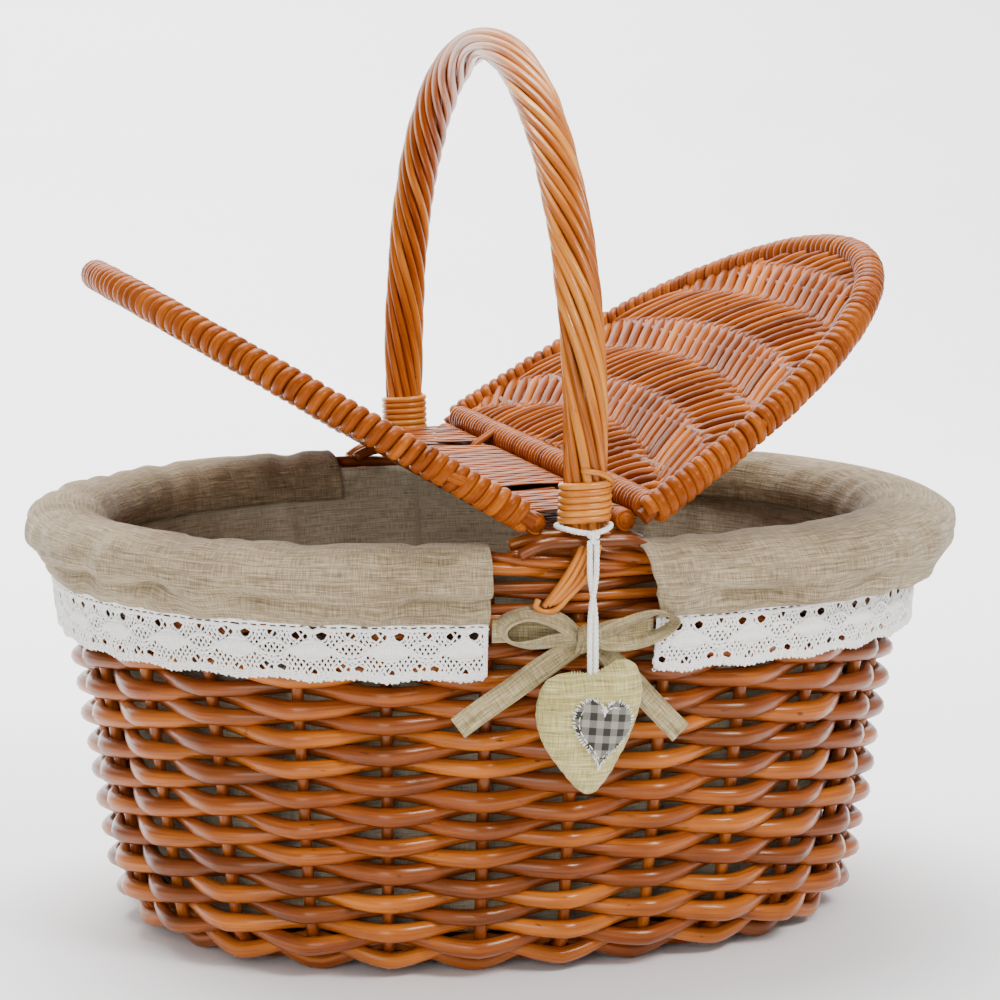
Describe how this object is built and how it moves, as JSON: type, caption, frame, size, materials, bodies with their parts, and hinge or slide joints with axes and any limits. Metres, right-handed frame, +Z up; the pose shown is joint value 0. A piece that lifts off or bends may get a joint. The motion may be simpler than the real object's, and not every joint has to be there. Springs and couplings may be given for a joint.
{
  "type": "lidded oval wicker basket",
  "caption": "Oval willow basket with two hinged half lids, fixed arch handle, linen lining with lace-edged cuffs, ribbon bows and a stuffed heart on a cord.",
  "frame": {"origin": "centre of the flat woven bottom, on the surface the basket stands on", "axes": "+X along the long axis towards the right lid, -Y to the front where the heart hangs, +Z up"},
  "size_m": [0.409, 0.3388, 0.3912],
  "materials": {
    "willow": "orange-brown stained willow rods under clear gloss lacquer",
    "willow_handle": "golden brown stained willow rods under clear gloss lacquer",
    "willow_lid": "red-brown stained willow rods under clear gloss lacquer",
    "linen": "matt plain-weave linen",
    "lace": "matt cotton crochet lace",
    "ribbon": "matt linen ribbon",
    "cord": "matt twisted cotton cord",
    "heart_linen": "pale green-yellow matt linen",
    "gingham": "grey and white checked cotton with a frayed edge"
  },
  "bodies": {
    "basket": {"base_sticks": "willow", "base_weave": "willow", "side_stakes": "willow", "foot_waling": "willow", "side_weave_lower": "willow", "side_weave_upper": "willow", "rim_waling": "willow", "rim_border": "willow", "bridge_rods_front": "willow", "bridge_rods_back": "willow", "handle_tail_front": "willow", "handle_tail_back": "willow", "handle_bow": "willow_handle", "handle_wrapping": "willow_handle", "handle_binding_front": "willow_handle", "handle_binding_back": "willow_handle", "bridge_bar_left": "willow_lid", "bridge_bar_right": "willow_lid", "bridge_weave": "willow_lid", "lining_bag": "linen", "cuff_left": "linen", "cuff_right": "linen", "lace_left": "lace", "lace_right": "lace", "bow_front_knot": "ribbon", "bow_front_loops": "ribbon", "bow_front_tails": "ribbon", "bow_front_tapes": "ribbon", "bow_back_knot": "ribbon", "bow_back_loops": "ribbon", "bow_back_tails": "ribbon", "bow_back_tapes": "ribbon", "cord_ring": "cord"},
    "left_lid": {"left_lid_frame": "willow_lid", "left_lid_bar": "willow_lid", "left_lid_border": "willow_lid", "left_lid_bar_wrapping": "willow_lid", "left_lid_ribs": "willow_lid", "left_lid_weave": "willow_lid", "left_lid_hinge_loops": "willow_lid"},
    "right_lid": {"right_lid_frame": "willow_lid", "right_lid_bar": "willow_lid", "right_lid_border": "willow_lid", "right_lid_bar_wrapping": "willow_lid", "right_lid_ribs": "willow_lid", "right_lid_weave": "willow_lid", "right_lid_hinge_loops": "willow_lid"},
    "pendant_knot": {"cord_knot": "cord"},
    "pendant": {"cord_strands": "cord", "heart": "heart_linen", "heart_patch": "gingham"}
  },
  "joints": [
    {"name": "left_lid_hinge", "type": "hinge", "parent": "basket", "child": "left_lid", "pos_m": [-0.019, 0, 0.195], "axis": [0, 1, 0], "range_deg": [-31, 50]},
    {"name": "right_lid_hinge", "type": "hinge", "parent": "basket", "child": "right_lid", "pos_m": [0.019, 0, 0.195], "axis": [0, -1, 0], "range_deg": [-33, 48]},
    {"name": "pendant_lift", "type": "hinge", "parent": "basket", "child": "pendant_knot", "pos_m": [0, -0.164, 0.1927], "axis": [-1, 0, 0], "range_deg": [0, 70]},
    {"name": "pendant_swing", "type": "hinge", "parent": "pendant_knot", "child": "pendant", "pos_m": [0, -0.164, 0.1927], "axis": [0, 1, 0], "range_deg": [-20, 20]}
  ]
}
